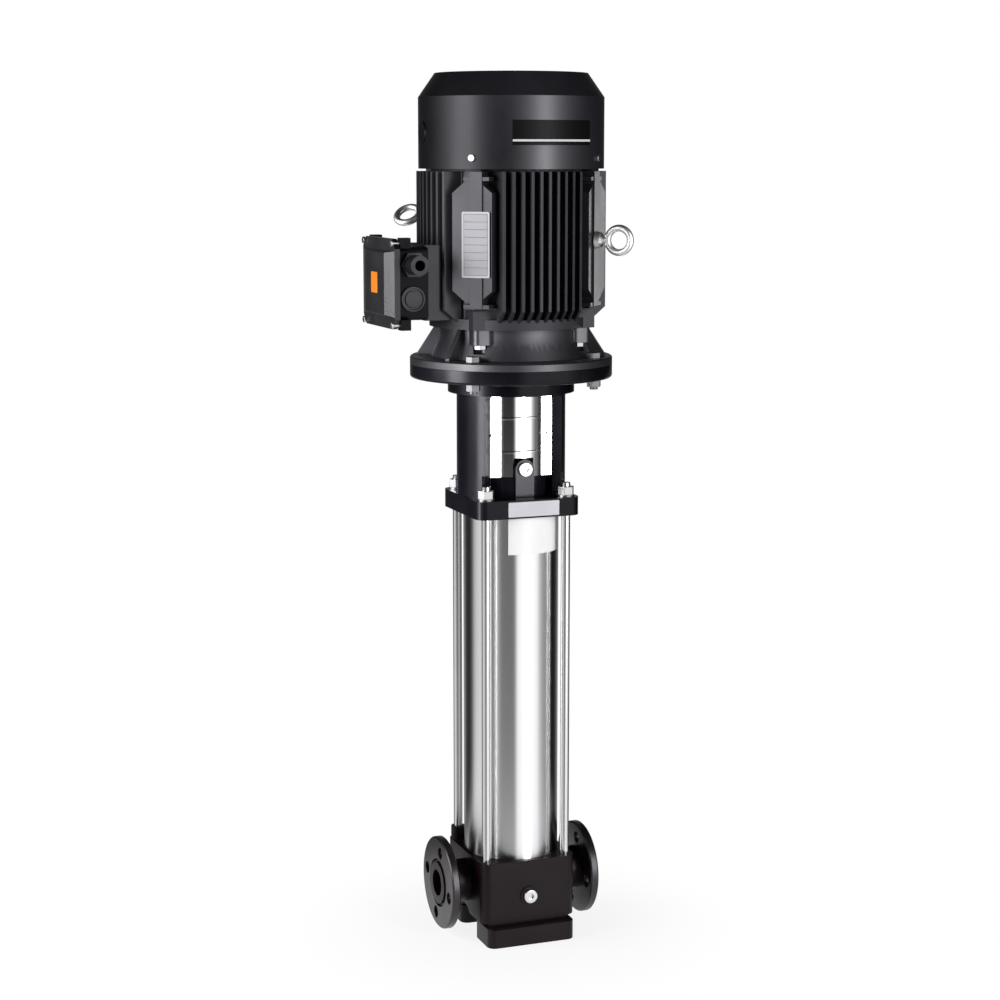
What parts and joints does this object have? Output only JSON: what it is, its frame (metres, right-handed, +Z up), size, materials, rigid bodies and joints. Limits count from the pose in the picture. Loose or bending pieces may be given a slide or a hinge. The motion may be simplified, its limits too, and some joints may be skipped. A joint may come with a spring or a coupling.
{
  "type": "vertical multistage pump",
  "caption": "Upright in-line centrifugal pump: cast foot with side pipe flanges, steel sleeve with tie rods, open motor stool with guards, and a finned electric motor on top.",
  "frame": {"origin": "on the pump axis in the plane the foot stands on, at the centre of the anchor holes", "axes": "+Z up along the pump axis, +X along the pipe axis towards the outlet flange, -Y the front with the drain and vent plugs"},
  "size_m": [0.3615, 0.3, 1.2925],
  "materials": {
    "base_iron": "black-brown satin paint on cast iron",
    "stool_iron": "glossy black-blue paint on cast iron",
    "head_iron": "black paint on cast iron",
    "motor_paint": "charcoal satin paint on cast aluminium",
    "cowl_paint": "charcoal satin paint on sheet steel",
    "cover_paint": "charcoal satin paint on cast aluminium",
    "stainless": "polished",
    "guard_steel": "polished sheet",
    "rod_steel": "drawn bar",
    "zinc": "zinc plated",
    "inner_steel": "turned and pressed",
    "lamination": "stacked electrical sheet",
    "winding_copper": "varnished wire",
    "bearing_steel": "ground",
    "bush_bronze": "turned",
    "seal_carbon": "lapped",
    "black_rubber": "matt",
    "fan_plastic": "moulded",
    "gland_plastic": "moulded",
    "board_plastic": "moulded",
    "stud_brass": "turned"
  },
  "bodies": {
    "frame": {"base_casting": "base_iron", "inlet_flange": "base_iron", "outlet_flange": "base_iron", "flange_rings": "rod_steel", "drain_plug": "zinc", "outer_sleeve": "stainless", "sleeve_o_rings": "black_rubber", "tie_rods": "rod_steel", "tie_rod_washers": "zinc", "tie_rod_nuts": "zinc", "pump_head": "head_iron", "vent_plug": "zinc", "seal_seat": "seal_carbon", "seal_cover": "inner_steel", "motor_stool": "stool_iron", "coupling_guard_front": "guard_steel", "coupling_guard_rear": "guard_steel", "guard_screws": "zinc", "inlet_collar": "inner_steel", "stage_chambers": "inner_steel", "outlet_collar": "inner_steel", "shaft_bushes": "bush_bronze", "drive_end_shield": "motor_paint", "flange_bolts": "zinc", "flange_nuts": "zinc", "corner_bolts": "zinc", "motor_frame": "motor_paint", "eye_bolt_left": "zinc", "eye_bolt_right": "zinc", "stator_core": "lamination", "stator_windings": "winding_copper", "drive_end_bearing": "bearing_steel", "fan_end_bearing": "bearing_steel", "fan_end_shield": "motor_paint", "fan_cowl": "cowl_paint", "cowl_screws": "zinc", "terminal_box": "cover_paint", "cover_gasket": "black_rubber", "terminal_cover": "cover_paint", "cover_screws": "zinc", "terminal_board": "board_plastic", "terminal_studs": "stud_brass", "cable_gland": "gland_plastic", "blanking_plug": "gland_plastic"},
    "rotor": {"pump_shaft": "inner_steel", "impellers": "inner_steel", "shaft_nut": "inner_steel", "seal_ring": "seal_carbon", "coupling_half_left": "lamination", "coupling_half_right": "lamination", "coupling_screws": "zinc", "motor_shaft": "inner_steel", "rotor_core": "lamination", "cooling_fan": "fan_plastic"}
  },
  "joints": [
    {"name": "rotor_spin", "type": "hinge", "parent": "frame", "child": "rotor", "pos_m": [0, 0, 0.789], "axis": [0, 0, 1], "continuous": true}
  ]
}
